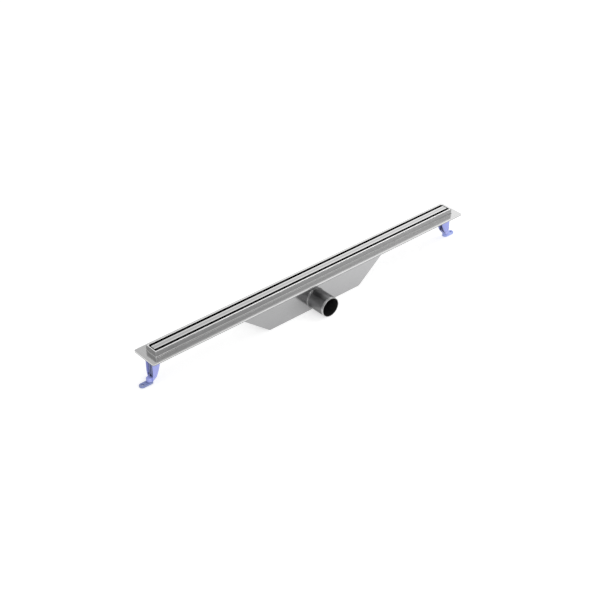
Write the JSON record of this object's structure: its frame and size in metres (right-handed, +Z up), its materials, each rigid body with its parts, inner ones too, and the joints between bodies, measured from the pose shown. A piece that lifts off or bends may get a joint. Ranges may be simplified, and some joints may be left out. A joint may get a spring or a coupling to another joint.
{
  "type": "linear shower drain",
  "caption": "Stainless linear shower drain with a narrow slotted channel, sealing flange, trapezoid sump with side outlet and height-adjustable plastic legs.",
  "frame": {"origin": "middle of the sump's underside, where the drain stands on the floor slab", "axes": "+X along the channel, -Y towards the outlet spigot's mouth, +Z up"},
  "size_m": [0.9674, 0.1045, 0.091],
  "materials": {
    "frame_steel": "ground",
    "body_steel": "mill",
    "outlet_steel": "polished",
    "inner_steel": "mill",
    "leg_plastic": "gloss",
    "fastener_steel": "plain",
    "bell_plastic": "satin",
    "seal_rubber": "matte"
  },
  "bodies": {
    "drain": {"channel_frame": "frame_steel", "cover_strip": "frame_steel", "sealing_flange": "body_steel", "trough_left": "body_steel", "trough_right": "body_steel", "sump_front_plate": "body_steel", "sump_rear_plate": "body_steel", "sump_floor": "body_steel", "outlet_pipe": "outlet_steel", "outlet_collar": "outlet_steel", "cover_support_1": "inner_steel", "cover_support_2": "inner_steel", "cover_support_3": "inner_steel", "cover_support_4": "inner_steel", "cover_support_5": "inner_steel", "cover_support_6": "inner_steel", "weir_box": "inner_steel", "hair_sieve": "inner_steel", "leg_bracket_left": "leg_plastic", "leg_bracket_right": "leg_plastic", "clamp_screw_left": "fastener_steel", "clamp_screw_right": "fastener_steel", "bracket_stud_left": "fastener_steel", "bracket_stud_right": "fastener_steel", "bracket_nut_left": "fastener_steel", "bracket_nut_right": "fastener_steel", "trap_bell": "bell_plastic", "trap_seal": "seal_rubber"},
    "foot_left": {"leg_foot_left": "leg_plastic"},
    "foot_right": {"leg_foot_right": "leg_plastic"}
  },
  "joints": [
    {"name": "foot_left_height", "type": "slide", "parent": "drain", "child": "foot_left", "axis": [0, 0, -1], "range_m": [0, 0.03]},
    {"name": "foot_right_height", "type": "slide", "parent": "drain", "child": "foot_right", "axis": [0, 0, -1], "range_m": [0, 0.03]}
  ]
}
